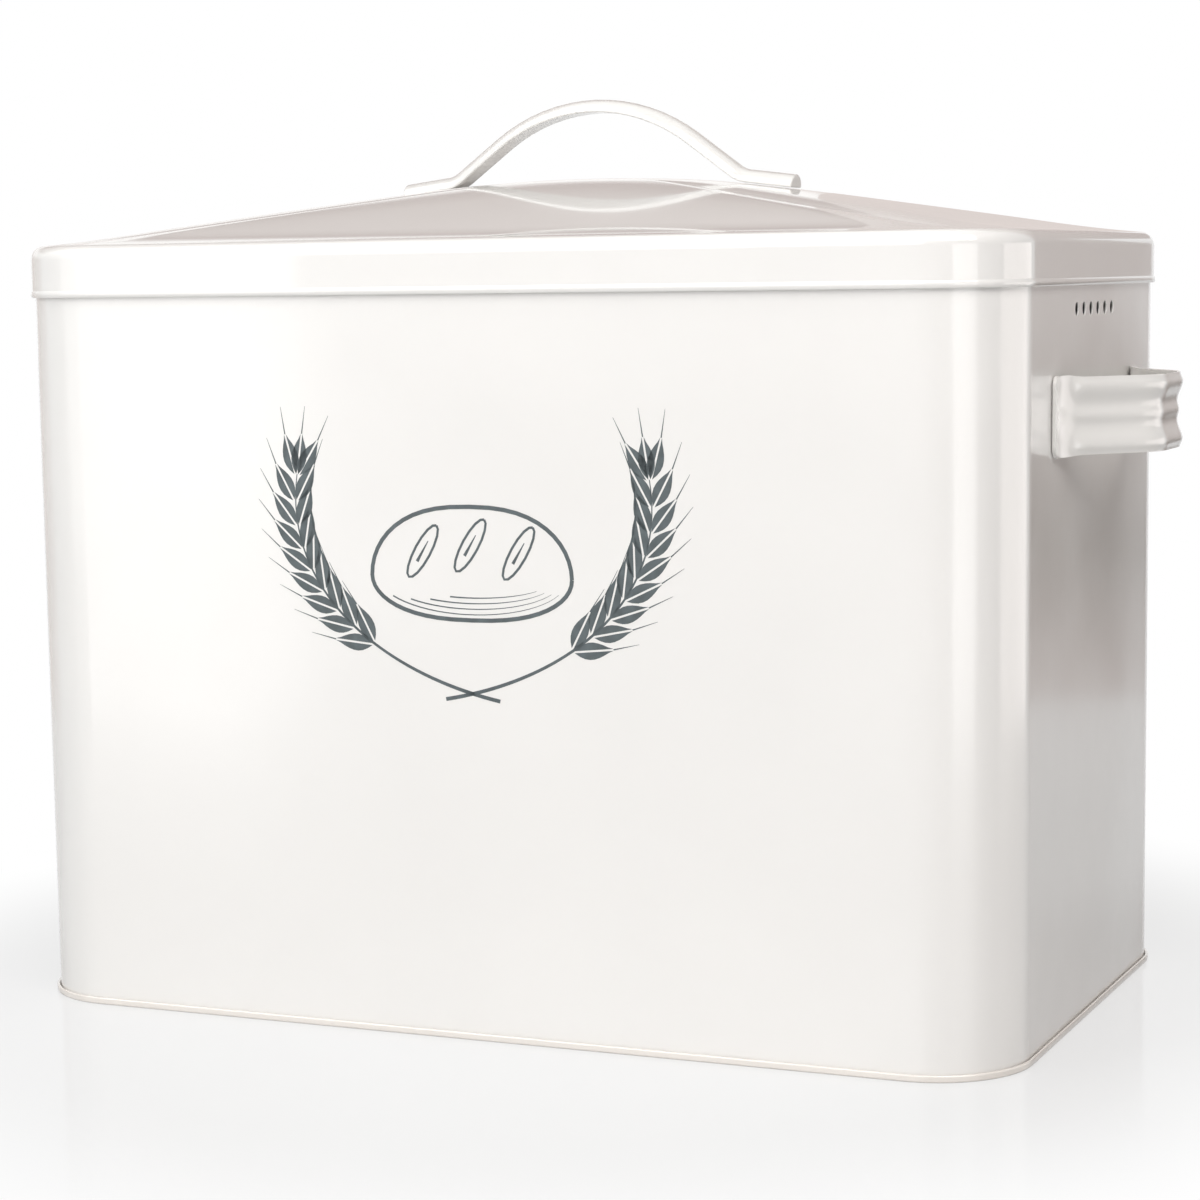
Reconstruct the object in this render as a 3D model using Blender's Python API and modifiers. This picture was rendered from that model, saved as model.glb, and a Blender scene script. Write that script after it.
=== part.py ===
"""Bread box of enamelled sheet steel, with a lift-off lid.

Metres, +Z up. The origin is on the floor under the middle of the box, and the front faces -Y.
The wall, the lid and the side handles are drawn by their outer skins, which Solidify thickens inwards.
"""

import math

import bmesh
import bpy
from mathutils import Matrix, Vector

# Sheet and fits
SHEET = 0.0006              # steel and its enamel, in the wall, the base and the lid
SEAT_GAP = 0.0003           # left between pieces that touch
CUT_OVERRUN = 0.003         # how far a cutter passes what it cuts

# Wall, measured outside at its rim
WIDTH = 0.328
DEPTH = 0.200
CORNER_RADIUS = 0.030
RIM_HEIGHT = 0.2395
DRAFT = 0.0010              # how much further in each side stands at the floor
CURL_RADIUS = 0.0015        # the rim is curled inwards
CURL_TURN = math.radians(250)

# Lap where the ends of the wall's sheet meet, in the middle of the back
LAP_WIDTH = 0.006
LAP_STEP = 0.0004
LAP_END_GAP = 0.003

# Vents, a row in each side
VENT_COUNT = 6
VENT_PITCH = 0.0085
VENT_RADIUS = 0.0020
VENT_DROP = 0.0070          # from the lid's edge down to the row

# Base pan, seamed over the foot of the wall
BASE_RISE = 0.0040          # the panel hangs this far above the floor
BASE_BEND = 0.0008
SEAM_HEIGHT = 0.0022
SEAM_ROUND = 0.0007
SEAM_FOLD = 0.0010          # thickness of the folded edge outside the wall

# Lid
LID_PLAY = 0.0005           # between the wall's rim and the skirt
SKIRT_HEIGHT = 0.0165       # from the edge to the top of the shoulder
SHOULDER_RADIUS = 0.0045
SHOULDER_TURN = math.radians(80)
HEM_HEIGHT = 0.0024
HEM_RISE = 0.0004
DOME_RISE = 0.0194
END_CROWN_SHARE = 0.29      # how far out from the middle each slope is round: then it runs straight
SIDE_CROWN_SHARE = 0.22
MARGIN_START_SHARE = 0.83   # from here on, the slopes ease towards the shoulder
END_MARGIN_SHARE = 0.55     # steepness that is left at the shoulder
SIDE_MARGIN_SHARE = 0.30
HIP_POWER = 4               # a higher one makes the hips sharper
DOME_ROW_SHARES = (0.95, 0.89, 0.83, 0.70, 0.56, 0.44, 0.34, 0.26, 0.18, 0.11, 0.04)

# Lid handle, a half-round strap; its path is its flat underside
ARCH_SPAN = 0.099           # between the corners where its legs meet its feet
ARCH_LEG_ANGLE = math.radians(36.5)
ARCH_RADIUS = 0.055
ARCH_ROOT_RADIUS = 0.012
ARCH_FOOT = 0.0185
ARCH_WIDTH = 0.010
ARCH_THICKNESS = 0.0042
ARCH_EDGE = 0.0005

# Side handles, pressed straps with ribs along them
GRIP_DROP = 0.038           # from the lid's edge down to the middle of the strap
GRIP_SHEET = 0.0010
GRIP_HEIGHT = 0.024
GRIP_LENGTH = 0.100         # along the wall, over both tabs
GRIP_TAB = 0.008
GRIP_FACE = 0.029           # the outer run, which the hand holds
GRIP_REACH = 0.0224         # clear space between the wall and that run
GRIP_ROOT_RADIUS = 0.014
GRIP_FACE_RADIUS = 0.018
GRIP_END_RADIUS = 0.003
GRIP_DRAW_IN = 0.0005       # the pressing narrows each edge of the ribbed part
RIB_RISE = 0.0016           # the two main ribs
RIB_MIDDLE_RISE = 0.0005
RIB_EDGE_TURN = 0.0008      # from the ribs' crests back to the edges
RIB_RUNOUT = 0.007
RIB_VALLEY_SHARE = 0.25     # of half the strap's height
RIB_CREST_SHARE = 0.77
WELD_RADIUS = 0.0032        # the dimple over each spot weld
WELD_DEPTH = 0.0005
WELD_INSET = 0.0058         # from the end of the strap to the dimple's middle

# Facets
CORNER_STEPS = 8
CURL_STEPS = 8
BEND_STEPS = 3
SHOULDER_STEPS = 5
HEM_STEPS = 4
END_STEPS = 6
SIDE_STEPS = 10
PATH_BEND_STEPS = 6
ARCH_SECTION_STEPS = 10
GRIP_STATIONS = 28
GRIP_ROWS = 18
GRIP_END_STEPS = 3
VENT_SIDES = 16
WELD_SIDES = 12

# Colours, linear
WALL_ENAMEL = (0.885, 0.870, 0.850)
BASE_ENAMEL = (0.84, 0.79, 0.74)
LID_ENAMEL = (0.885, 0.870, 0.850)
HANDLE_ENAMEL = (0.885, 0.870, 0.845)
ENAMEL_ROUGHNESS = 0.18

# The lid hangs by the round inside of its shoulder, which nests on the curled rim
RIM_CENTRE = RIM_HEIGHT - CURL_RADIUS
NEST_ROOM = SHOULDER_RADIUS - SHEET - CURL_RADIUS
SHOULDER_CENTRE = RIM_CENTRE - math.sqrt((NEST_ROOM - SEAT_GAP) ** 2 - (NEST_ROOM - LID_PLAY) ** 2)
LID_EDGE = SHOULDER_CENTRE + SHOULDER_RADIUS - SKIRT_HEIGHT
SKIRT_OUTSET = LID_PLAY + SHEET
DOME_OUTSET = SKIRT_OUTSET - SHOULDER_RADIUS * (1 - math.cos(SHOULDER_TURN))
DOME_FOOT = SHOULDER_CENTRE + SHOULDER_RADIUS * math.sin(SHOULDER_TURN)


def clear_scene():
    for item in list(bpy.data.objects):
        bpy.data.objects.remove(item, do_unlink=True)


def new_collection(name):
    collection = bpy.data.collections.new(name)
    bpy.context.scene.collection.children.link(collection)
    return collection


def new_object(name, mesh, collection, parent=None):
    piece = bpy.data.objects.new(name, mesh)
    piece.parent = parent
    collection.objects.link(piece)
    return piece


def new_empty(name, collection, parent=None):
    empty = new_object(name, None, collection, parent)
    empty.empty_display_size = CORNER_RADIUS
    return empty


def paint(piece, colour):
    """Glossy enamel of the piece's own colour."""
    material = bpy.data.materials.new(piece.name + "_enamel")
    material.use_nodes = True
    shader = material.node_tree.nodes["Principled BSDF"]
    shader.inputs["Base Color"].default_value = (*colour, 1)
    shader.inputs["Roughness"].default_value = ENAMEL_ROUGHNESS
    shader.inputs["Metallic"].default_value = 0
    piece.data.materials.append(material)


def round_shading(piece):
    piece.data.shade_smooth()
    piece.data.set_sharp_from_angle(angle=math.radians(35))


def thicken(piece, sheet):
    """Gives a skin the thickness of its sheet, on the inner side of its faces."""
    solidify = piece.modifiers.new("sheet", "SOLIDIFY")
    solidify.thickness = sheet
    solidify.offset = -1
    solidify.use_even_offset = True


def combine(piece, tool, operation):
    boolean = piece.modifiers.new(tool.name, "BOOLEAN")
    boolean.operation = operation
    boolean.solver = "EXACT"
    boolean.object = tool


def new_tool(name, bm, parent=None):
    """A cutter, or a lump that is joined on, which isn't a piece itself."""
    mesh = bpy.data.meshes.new(name)
    bm.to_mesh(mesh)
    bm.free()
    tool = new_object(name, mesh, tools, parent)
    tool.hide_render = True
    tool.display_type = "WIRE"
    return tool


def loft(name, rows, parent, round_rows=True, cap_first=False, cap_last=False):
    """A skin through rows of points. Rows that close run anticlockwise, seen from above."""
    mesh = bpy.data.meshes.new(name)
    bm = bmesh.new()
    rows = [[bm.verts.new(point) for point in row] for row in rows]
    spans = len(rows[0]) if round_rows else len(rows[0]) - 1
    for low, high in zip(rows, rows[1:]):
        for here in range(spans):
            there = (here + 1) % len(low)
            bm.faces.new((low[here], low[there], high[there], high[here]))
    if cap_first:
        bm.faces.new(reversed(rows[0]))
    if cap_last:
        bm.faces.new(rows[-1])
    bm.to_mesh(mesh)
    bm.free()
    return new_object(name, mesh, pieces, parent)


def ring(outset, height):
    """The box's outline at a height, stood off from the rim's size by an outset."""
    radius = CORNER_RADIUS + outset
    points = []
    for quarter in range(4):
        side_x = 1 if quarter in (0, 1) else -1
        side_y = 1 if quarter in (1, 2) else -1
        centre = Vector((side_x * (WIDTH / 2 - CORNER_RADIUS), side_y * (DEPTH / 2 - CORNER_RADIUS), height))
        for step in range(CORNER_STEPS + 1):
            angle = (quarter - 1 + step / CORNER_STEPS) * math.pi / 2
            points.append(centre + radius * Vector((math.cos(angle), math.sin(angle), 0)))
    return points


def arc(centre, radius, start, turn, steps):
    """Profile points (outset, height) round a centre, from the start angle in degrees through a turn."""
    across, up = centre
    angles = [math.radians(start) + turn * step / steps for step in range(steps + 1)]
    return [(across + radius * math.cos(angle), up + radius * math.sin(angle)) for angle in angles]


def rounded_path(corners, radii):
    """Straight runs between corners, with an arc at each inner corner."""
    path = [corners[0]]
    for before, corner, after, radius in zip(corners, corners[1:], corners[2:], radii):
        back = (before - corner).normalized()
        onward = (after - corner).normalized()
        half_angle = back.angle(onward) / 2
        setback = radius / math.tan(half_angle)
        centre = corner + (back + onward).normalized() * radius / math.sin(half_angle)
        start = (corner + back * setback - centre).normalized()
        end = (corner + onward * setback - centre).normalized()
        for step in range(PATH_BEND_STEPS + 1):
            path.append(centre + start.slerp(end, step / PATH_BEND_STEPS).normalized() * radius)
    path.append(corners[-1])
    return path


def wall_outset(height):
    """The wall leans in a little from its rim down to the floor."""
    return -DRAFT * (1 - height / RIM_HEIGHT)


def wall_tilt():
    return math.atan2(DRAFT, RIM_HEIGHT)


def build_wall(parent):
    foot = SHEET + SEAT_GAP
    profile = [(wall_outset(foot), foot)]
    profile += arc((-CURL_RADIUS, RIM_CENTRE), CURL_RADIUS, 0, CURL_TURN, CURL_STEPS)
    wall = loft("body_wall", [ring(outset, height) for outset, height in profile], parent)
    thicken(wall, SHEET)
    combine(wall, lap_strip(), "UNION")
    combine(wall, vent_punches(), "DIFFERENCE")
    paint(wall, WALL_ENAMEL)
    round_shading(wall)


def lap_strip():
    """The doubled sheet at the back, sunk by half a sheet into the wall."""
    bottom = SEAM_HEIGHT + SEAT_GAP
    top = LID_EDGE - LAP_END_GAP
    middle = (bottom + top) / 2
    thickness = LAP_STEP + SHEET / 2
    bm = bmesh.new()
    bmesh.ops.create_cube(bm, size=1, matrix=Matrix.Diagonal((LAP_WIDTH, thickness, top - bottom, 1)))
    strip = new_tool("back_lap", bm)
    strip.location = (0, DEPTH / 2 + wall_outset(middle) + LAP_STEP - thickness / 2, middle)
    strip.rotation_euler = (-wall_tilt(), 0, 0)
    return strip


def vent_punches():
    """Round punches that pass through both sides."""
    bm = bmesh.new()
    across = Matrix.Rotation(math.pi / 2, 4, "Y")
    for number in range(VENT_COUNT):
        place = Vector((0, (number - (VENT_COUNT - 1) / 2) * VENT_PITCH, LID_EDGE - VENT_DROP))
        bmesh.ops.create_cone(
            bm, cap_ends=True, segments=VENT_SIDES, radius1=VENT_RADIUS, radius2=VENT_RADIUS,
            depth=WIDTH + 2 * CUT_OVERRUN, matrix=Matrix.Translation(place) @ across,
        )
    return new_tool("vent_punches", bm)


def build_base(parent):
    """A panel held up off the floor, with a channel round it that hugs the foot of the wall.

    The profile runs out along the underside, over the folded edge, and back along the upper side.
    """
    inner = wall_outset(0) - 2 * SHEET - SEAT_GAP
    outer = wall_outset(0) + SEAT_GAP + SEAM_FOLD
    fold = SEAM_FOLD / 2
    bend = (inner - BASE_BEND, BASE_RISE - BASE_BEND)
    quarter = math.pi / 2
    profile = arc(bend, BASE_BEND, 90, -quarter, BEND_STEPS)
    profile += arc((inner + SEAM_ROUND, SEAM_ROUND), SEAM_ROUND, 180, quarter, BEND_STEPS)
    profile += arc((outer - SEAM_ROUND, SEAM_ROUND), SEAM_ROUND, 270, quarter, BEND_STEPS)
    profile += arc((outer - fold, SEAM_HEIGHT - fold), fold, 0, 2 * quarter, 2 * BEND_STEPS)
    profile += [(outer - SEAM_FOLD, SHEET), (inner + SHEET, SHEET)]
    profile += arc(bend, BASE_BEND + SHEET, 0, quarter, BEND_STEPS)
    rows = [ring(outset, height) for outset, height in profile]
    base = loft("base_pan", rows, parent, cap_first=True, cap_last=True)
    paint(base, BASE_ENAMEL)
    round_shading(base)


def slope_left(share, crown, margin):
    """What is left of one slope's height at a share of the way out from the middle.

    The slope is round up to its crown share. In the margin, it eases towards a part of its steepness.
    """
    fall = share - crown / 2 if share > crown else share ** 2 / (2 * crown)
    width = 1 - MARGIN_START_SHARE
    fall -= (1 - margin) * max(share - MARGIN_START_SHARE, 0) ** 2 / (2 * width)
    return 1 - fall / (1 - crown / 2 - (1 - margin) * width / 2)


def dome_height(end_share, side_share):
    """Height of the lid's skin, by the shares of the way out to its ends and to its long sides."""
    ends = slope_left(end_share, END_CROWN_SHARE, END_MARGIN_SHARE)
    sides = slope_left(side_share, SIDE_CROWN_SHARE, SIDE_MARGIN_SHARE)
    if max(end_share, side_share) >= 1:
        return DOME_FOOT
    soft_lower = ((ends ** -HIP_POWER + sides ** -HIP_POWER) / 2) ** (-1 / HIP_POWER)
    return DOME_FOOT + DOME_RISE * soft_lower


def lid_ring(outset, height):
    """The outline with more points along its straight sides, where the dome bends too."""
    corners = ring(outset, height)
    count = CORNER_STEPS + 1
    points = []
    for quarter, steps in enumerate((END_STEPS, SIDE_STEPS, END_STEPS, SIDE_STEPS)):
        corner = corners[quarter * count:(quarter + 1) * count]
        following = corners[(quarter + 1) * count % len(corners)]
        points += corner
        points += [corner[-1].lerp(following, step / steps) for step in range(1, steps)]
    return points


def dome_row(foot, share):
    """The dome's foot drawn in to a share of its size, at the dome's height there."""
    row = []
    for point in foot:
        end = abs(point.x) / (WIDTH / 2 + DOME_OUTSET)
        side = abs(point.y) / (DEPTH / 2 + DOME_OUTSET)
        scale = share / max(end, side)
        row.append(Vector((point.x * share, point.y * share, dome_height(end * scale, side * scale))))
    return row


def build_lid(parent):
    profile = []
    for step in range(HEM_STEPS + 1):
        along = step / HEM_STEPS
        profile.append((SKIRT_OUTSET + HEM_RISE * math.sin(math.pi * along), LID_EDGE + HEM_HEIGHT * along))
    shoulder = (SKIRT_OUTSET - SHOULDER_RADIUS, SHOULDER_CENTRE)
    profile += arc(shoulder, SHOULDER_RADIUS, 0, SHOULDER_TURN, SHOULDER_STEPS)
    rows = [lid_ring(outset, height) for outset, height in profile]
    rows += [dome_row(rows[-1], share) for share in DOME_ROW_SHARES]
    lid = loft("lid_pan", rows, parent, cap_last=True)
    thicken(lid, SHEET)
    paint(lid, LID_ENAMEL)
    round_shading(lid)


def arch_path():
    """The underside of the lid handle, from foot to foot, as (x, height)."""
    half_length = WIDTH / 2 + DOME_OUTSET
    foot_start = ARCH_SPAN / 2
    foot_end = foot_start + ARCH_FOOT
    start_height = dome_height(foot_start / half_length, 0)
    end_height = dome_height(foot_end / half_length, 0)
    bulge = dome_height((foot_start + foot_end) / 2 / half_length, 0) - (start_height + end_height) / 2
    root = Vector((foot_start, start_height + bulge + SEAT_GAP, 0))
    end = Vector((foot_end, end_height + bulge + SEAT_GAP, 0))
    peak = Vector((0, root.y + root.x * math.tan(ARCH_LEG_ANGLE), 0))
    mirror = Vector((-1, 1, 1))
    corners = [end * mirror, root * mirror, peak, root, end]
    return rounded_path(corners, (ARCH_ROOT_RADIUS, ARCH_RADIUS, ARCH_ROOT_RADIUS))


def polyline(name, points, cyclic):
    curve = bpy.data.curves.new(name, "CURVE")
    curve.dimensions = "2D"
    curve.fill_mode = "NONE"
    spline = curve.splines.new("POLY")
    spline.points.add(len(points) - 1)
    for target, point in zip(spline.points, points):
        target.co = (*point, 1)
    spline.use_cyclic_u = cyclic
    return curve


def build_lid_handle(parent):
    """The half-round section swept along the arch, in the upright plane through the lid's long middle."""
    angles = [math.pi * step / ARCH_SECTION_STEPS for step in range(ARCH_SECTION_STEPS + 1)]
    section_points = [
        Vector((-ARCH_THICKNESS * math.sin(angle), ARCH_WIDTH / 2 * math.cos(angle), 0))
        for angle in angles
    ]
    section = new_object("arch_section", polyline("arch_section", section_points, True), tools)
    section.hide_render = True
    section.display_type = "WIRE"
    curve = polyline("arch_path", arch_path(), False)
    curve.bevel_mode = "OBJECT"
    curve.bevel_object = section
    curve.use_fill_caps = True
    path = new_object("arch_path", curve, tools)
    path.rotation_euler = (math.pi / 2, 0, 0)
    bpy.context.view_layer.update()

    mesh = bpy.data.meshes.new_from_object(path.evaluated_get(bpy.context.evaluated_depsgraph_get()))
    bm = bmesh.new()
    bm.from_mesh(mesh)
    bmesh.ops.remove_doubles(bm, verts=bm.verts, dist=SEAT_GAP / 10)
    bmesh.ops.recalc_face_normals(bm, faces=bm.faces)
    bm.to_mesh(mesh)
    bm.free()
    handle = new_object("lid_handle", mesh, pieces, parent)
    handle.matrix_world = path.matrix_world
    bpy.data.objects.remove(path)

    edges = handle.modifiers.new("edges", "BEVEL")
    edges.width = ARCH_EDGE
    edges.segments = 2
    edges.limit_method = "ANGLE"
    edges.angle_limit = math.radians(50)
    paint(handle, HANDLE_ENAMEL)
    round_shading(handle)


def rib_height(share):
    """How far the strap's skin is pressed out, from its middle (0) to its edge (1)."""
    knots = (
        (0, RIB_MIDDLE_RISE),
        (RIB_VALLEY_SHARE, 0),
        (RIB_CREST_SHARE, RIB_RISE),
        (1, RIB_RISE - RIB_EDGE_TURN),
    )
    for (start, low), (end, high) in zip(knots, knots[1:]):
        if share <= end:
            blend = (1 - math.cos(math.pi * (share - start) / (end - start))) / 2
            return low + (high - low) * blend
    return knots[-1][1]


def along_path(path, distance):
    """The point at a distance along a path, and the direction there."""
    for here, there in zip(path, path[1:]):
        run = (there - here).length
        if distance <= run or there is path[-1]:
            direction = (there - here).normalized()
            return here + direction * distance, direction
        distance -= run


def grip_path():
    """The strap's skin from end to end, in a frame on the wall: x away from it, y along it, z up it."""
    skin = SEAT_GAP + GRIP_SHEET
    face = GRIP_REACH + GRIP_SHEET
    root_y = GRIP_LENGTH / 2 - GRIP_TAB
    corners = [
        Vector((skin, -GRIP_LENGTH / 2, 0)), Vector((skin, -root_y, 0)), Vector((face, -GRIP_FACE / 2, 0)),
        Vector((face, GRIP_FACE / 2, 0)), Vector((skin, root_y, 0)), Vector((skin, GRIP_LENGTH / 2, 0)),
    ]
    return rounded_path(corners, (GRIP_ROOT_RADIUS, GRIP_FACE_RADIUS, GRIP_FACE_RADIUS, GRIP_ROOT_RADIUS))


def grip_rows():
    """Rows of points across the strap."""
    path = grip_path()
    length = sum((there - here).length for here, there in zip(path, path[1:]))

    ends = [
        GRIP_END_RADIUS * (1 - math.cos(math.pi / 2 * step / GRIP_END_STEPS))
        for step in range(GRIP_END_STEPS)
    ]
    between = length - 2 * GRIP_END_RADIUS
    stations = ends + [
        GRIP_END_RADIUS + between * step / GRIP_STATIONS
        for step in range(GRIP_STATIONS + 1)
    ]
    stations += [length - distance for distance in reversed(ends)]

    rows = []
    for distance in stations:
        centre, direction = along_path(path, distance)
        outward = Vector((direction.y, -direction.x, 0))
        from_end = min(distance, length - distance)
        ribbed = min(max((from_end - GRIP_TAB) / RIB_RUNOUT, 0), 1)
        ribbed = ribbed ** 2 * (3 - 2 * ribbed)
        half = GRIP_HEIGHT / 2 - GRIP_DRAW_IN * ribbed
        if from_end < GRIP_END_RADIUS:
            half += math.sqrt(GRIP_END_RADIUS ** 2 - (GRIP_END_RADIUS - from_end) ** 2) - GRIP_END_RADIUS
        row = []
        for step in range(GRIP_ROWS + 1):
            share = 2 * step / GRIP_ROWS - 1
            row.append(centre + outward * rib_height(abs(share)) * ribbed + Vector((0, 0, share * half)))
        rows.append(row)
    return rows


def build_side_handle(name, turn, parent):
    """One strap. The turn about Z puts it on the right (0) or the left (half a turn) wall."""
    height = LID_EDGE - GRIP_DROP
    handle = loft(name, [list(reversed(row)) for row in grip_rows()], parent, round_rows=False)
    handle.location = Matrix.Rotation(turn, 3, "Z") @ Vector((WIDTH / 2 + wall_outset(height), 0, height))
    handle.rotation_euler = (0, wall_tilt(), turn)
    thicken(handle, GRIP_SHEET)

    bm = bmesh.new()
    weld, direction = along_path(grip_path(), WELD_INSET)
    flatten = Matrix.Diagonal((WELD_DEPTH / WELD_RADIUS, 1, 1, 1))
    for side in (-1, 1):
        place = Matrix.Translation((weld.x, side * abs(weld.y), 0))
        lean = Matrix.Rotation(side * math.atan2(direction.x, direction.y), 4, "Z")
        bmesh.ops.create_uvsphere(
            bm, u_segments=WELD_SIDES, v_segments=WELD_SIDES, radius=WELD_RADIUS,
            matrix=place @ lean @ flatten @ Matrix.Rotation(math.pi / 2, 4, "Y"),
        )
    combine(handle, new_tool(name + "_welds", bm, handle), "DIFFERENCE")
    paint(handle, HANDLE_ENAMEL)
    round_shading(handle)


clear_scene()
pieces = new_collection("bread_box")
tools = new_collection("cutters")
box = new_empty("box", pieces)
lid_lift = new_empty("lid_lift", pieces, box)

build_wall(box)
build_base(box)
build_lid(lid_lift)
build_lid_handle(lid_lift)
build_side_handle("side_handle_right", 0, box)
build_side_handle("side_handle_left", math.pi, box)
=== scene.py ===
"""Looks of an enamelled bread box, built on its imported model. Metres, +Z up, front towards -Y."""

import math

import bmesh
import bpy
from mathutils import Matrix, Vector


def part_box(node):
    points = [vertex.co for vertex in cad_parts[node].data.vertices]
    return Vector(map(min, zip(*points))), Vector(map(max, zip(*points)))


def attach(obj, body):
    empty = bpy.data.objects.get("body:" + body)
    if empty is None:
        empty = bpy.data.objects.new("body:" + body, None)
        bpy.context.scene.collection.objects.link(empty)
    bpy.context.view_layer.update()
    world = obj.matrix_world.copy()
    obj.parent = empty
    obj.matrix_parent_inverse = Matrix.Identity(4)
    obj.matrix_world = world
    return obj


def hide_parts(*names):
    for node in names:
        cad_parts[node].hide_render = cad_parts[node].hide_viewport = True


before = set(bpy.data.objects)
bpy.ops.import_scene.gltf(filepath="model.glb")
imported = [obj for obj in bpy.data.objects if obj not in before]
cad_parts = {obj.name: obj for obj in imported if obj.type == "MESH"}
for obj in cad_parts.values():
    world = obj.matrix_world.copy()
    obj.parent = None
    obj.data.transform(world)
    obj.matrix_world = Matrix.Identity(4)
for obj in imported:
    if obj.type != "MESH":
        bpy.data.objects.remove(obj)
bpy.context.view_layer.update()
wall_low, wall_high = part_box("body_wall")
lid_low, lid_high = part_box("lid_pan")

# Sheet and fits
SHEET = 0.0006
SEAT_GAP = 0.0003
CUT_OVERRUN = 0.003
EDGE_ROUND = 0.00018        # enamel rounds each cut edge of the sheet

# Wall
WIDTH = wall_high.x - wall_low.x
DEPTH = -2 * wall_low.y
RIM_HEIGHT = wall_high.z
CORNER_RADIUS = 0.030
DRAFT = 0.0010
CURL_RADIUS = 0.0015
CURL_TURN = math.radians(250)
LAP_WIDTH = 0.006
LAP_STEP = 0.0004
LAP_END_GAP = 0.003

# Vents
VENT_COUNT = 6
VENT_PITCH = 0.0085
VENT_RADIUS = 0.0020
VENT_DROP = 0.0070

# Base pan
BASE_RISE = 0.0040
BASE_BEND = 0.0008
SEAM_HEIGHT = 0.0022
SEAM_ROUND = 0.0007
SEAM_FOLD = 0.0010

# Lid
LID_EDGE = lid_low.z
HEM_HEIGHT = 0.0024
HEM_RISE = 0.0004
SKIRT_OUTSET = lid_high.x - WIDTH / 2 - HEM_RISE
SKIRT_HEIGHT = 0.0165
SHOULDER_RADIUS = 0.0045
SHOULDER_TURN = math.radians(80)
SHOULDER_CENTRE = LID_EDGE + SKIRT_HEIGHT - SHOULDER_RADIUS
DOME_OUTSET = SKIRT_OUTSET - SHOULDER_RADIUS * (1 - math.cos(SHOULDER_TURN))
DOME_FOOT = SHOULDER_CENTRE + SHOULDER_RADIUS * math.sin(SHOULDER_TURN)
DOME_RISE = 0.0194
END_CROWN_SHARE = 0.29
SIDE_CROWN_SHARE = 0.22
MARGIN_START_SHARE = 0.83
END_MARGIN_SHARE = 0.55
SIDE_MARGIN_SHARE = 0.30
HIP_POWER = 4

# Lid handle
ARCH_SPAN = 0.099
ARCH_LEG_ANGLE = math.radians(36.5)
ARCH_RADIUS = 0.055
ARCH_ROOT_RADIUS = 0.012
ARCH_FOOT = 0.0185
ARCH_WIDTH = 0.010
ARCH_THICKNESS = 0.0042
ARCH_EDGE = 0.0005

# Side handles
GRIP_DROP = 0.038
GRIP_SHEET = 0.0010
GRIP_HEIGHT = 0.024
GRIP_LENGTH = 0.100
GRIP_TAB = 0.008
GRIP_FACE = 0.029
GRIP_REACH = 0.0224
GRIP_ROOT_RADIUS = 0.014
GRIP_FACE_RADIUS = 0.018
GRIP_END_RADIUS = 0.003
GRIP_DRAW_IN = 0.0005
RIB_RISE = 0.0016
RIB_MIDDLE_RISE = 0.0005
RIB_EDGE_TURN = 0.0008
RIB_RUNOUT = 0.007
RIB_VALLEY_SHARE = 0.25
RIB_CREST_SHARE = 0.77
WELD_RADIUS = 0.0034
WELD_DEPTH = 0.0006
WELD_INSET = 0.0058

# Printed ornament: two ears of wheat round a loaf
PRINT_HEIGHT = 0.147        # of its middle, over the floor
PRINT_LIFT = 0.00004
STALK_START = (0.009, -0.043)
STALK_BEND = (-0.030, -0.036)
STALK_SIDE = (-0.064, -0.012)
STALK_TIP = (-0.058, 0.024)
STALK_WIDTH = 0.0012
GRAIN_LENGTH = 0.0125
GRAIN_WIDTH = 0.0052
GRAIN_SLIT = 0.0006
GRAIN_PAIRS = 9
GRAIN_STEPS = 8
GRAIN_FULLNESS = 0.8        # below 1, the grain is widest nearer its foot
GRAIN_TURN = 0.50           # radians, away from the stalk
TIP_TURN = 0.42             # the same for the three grains at the tip
EAR_START = 0.40            # share of the stalk below the first grains
STALK_STEPS = 40
STALK_PROBE = 0.01          # share of the stalk over which its direction is taken
AWN_LENGTH = 0.0085
AWN_WIDTH = 0.0004
LINE_TAPER = 0.75           # share of its width that a pen line loses
LOAF_WIDTH = 0.066
LOAF_HEIGHT = 0.034
LOAF_LINE = 0.0013
LOAF_RISE = -0.006
LOAF_STEPS = 48
LOAF_ROUNDNESS = 0.8        # below 1, the ends are fuller than an ellipse
LOAF_TOP_SHARE = 0.62       # of its height, above its middle
LOAF_BOTTOM_SHARE = 0.38
CUT_STEPS = 16
CUT_PITCH_SHARE = 0.24      # of the loaf's width
CUT_RISE_SHARE = 0.28       # of the loaf's height
CUT_FALL_SHARE = 0.06       # how much lower the outer cuts are
CUT_LENGTH_SHARE = 0.27     # of the loaf's height, to each side
CUT_WIDTH_SHARE = 0.28      # of the cut's length
CUT_LEAN = -0.55            # radians
CUT_LINE_SHARE = 0.6
SPINE_STEPS = 4
SPINE_SHARE = 0.4           # of the cut's half length, to each side
SPINE_LINE_SHARE = 0.8
HATCH_ROWS = 4
HATCH_STEPS = 24
HATCH_START = 200           # degrees
HATCH_TURN = 140
HATCH_ROW_TURN = 2
HATCH_RISE_SHARE = 0.13     # each row is this much flatter than the one below
HATCH_DRAW_IN = 0.05
HATCH_LINE = 0.00045

# Steps of the round stretches
CORNER_STEPS = 28
CURL_STEPS = 20
BEND_STEPS = 6
SHOULDER_STEPS = 14
HEM_STEPS = 8
END_STEPS = 40
SIDE_STEPS = 64
DOME_STEPS = 44
PATH_BEND_STEPS = 16
ARCH_SECTION_STEPS = 24
GRIP_STATIONS = 110
GRIP_ROWS = 44
GRIP_END_STEPS = 5
VENT_SIDES = 40
CARD_STEPS = 12

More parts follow.
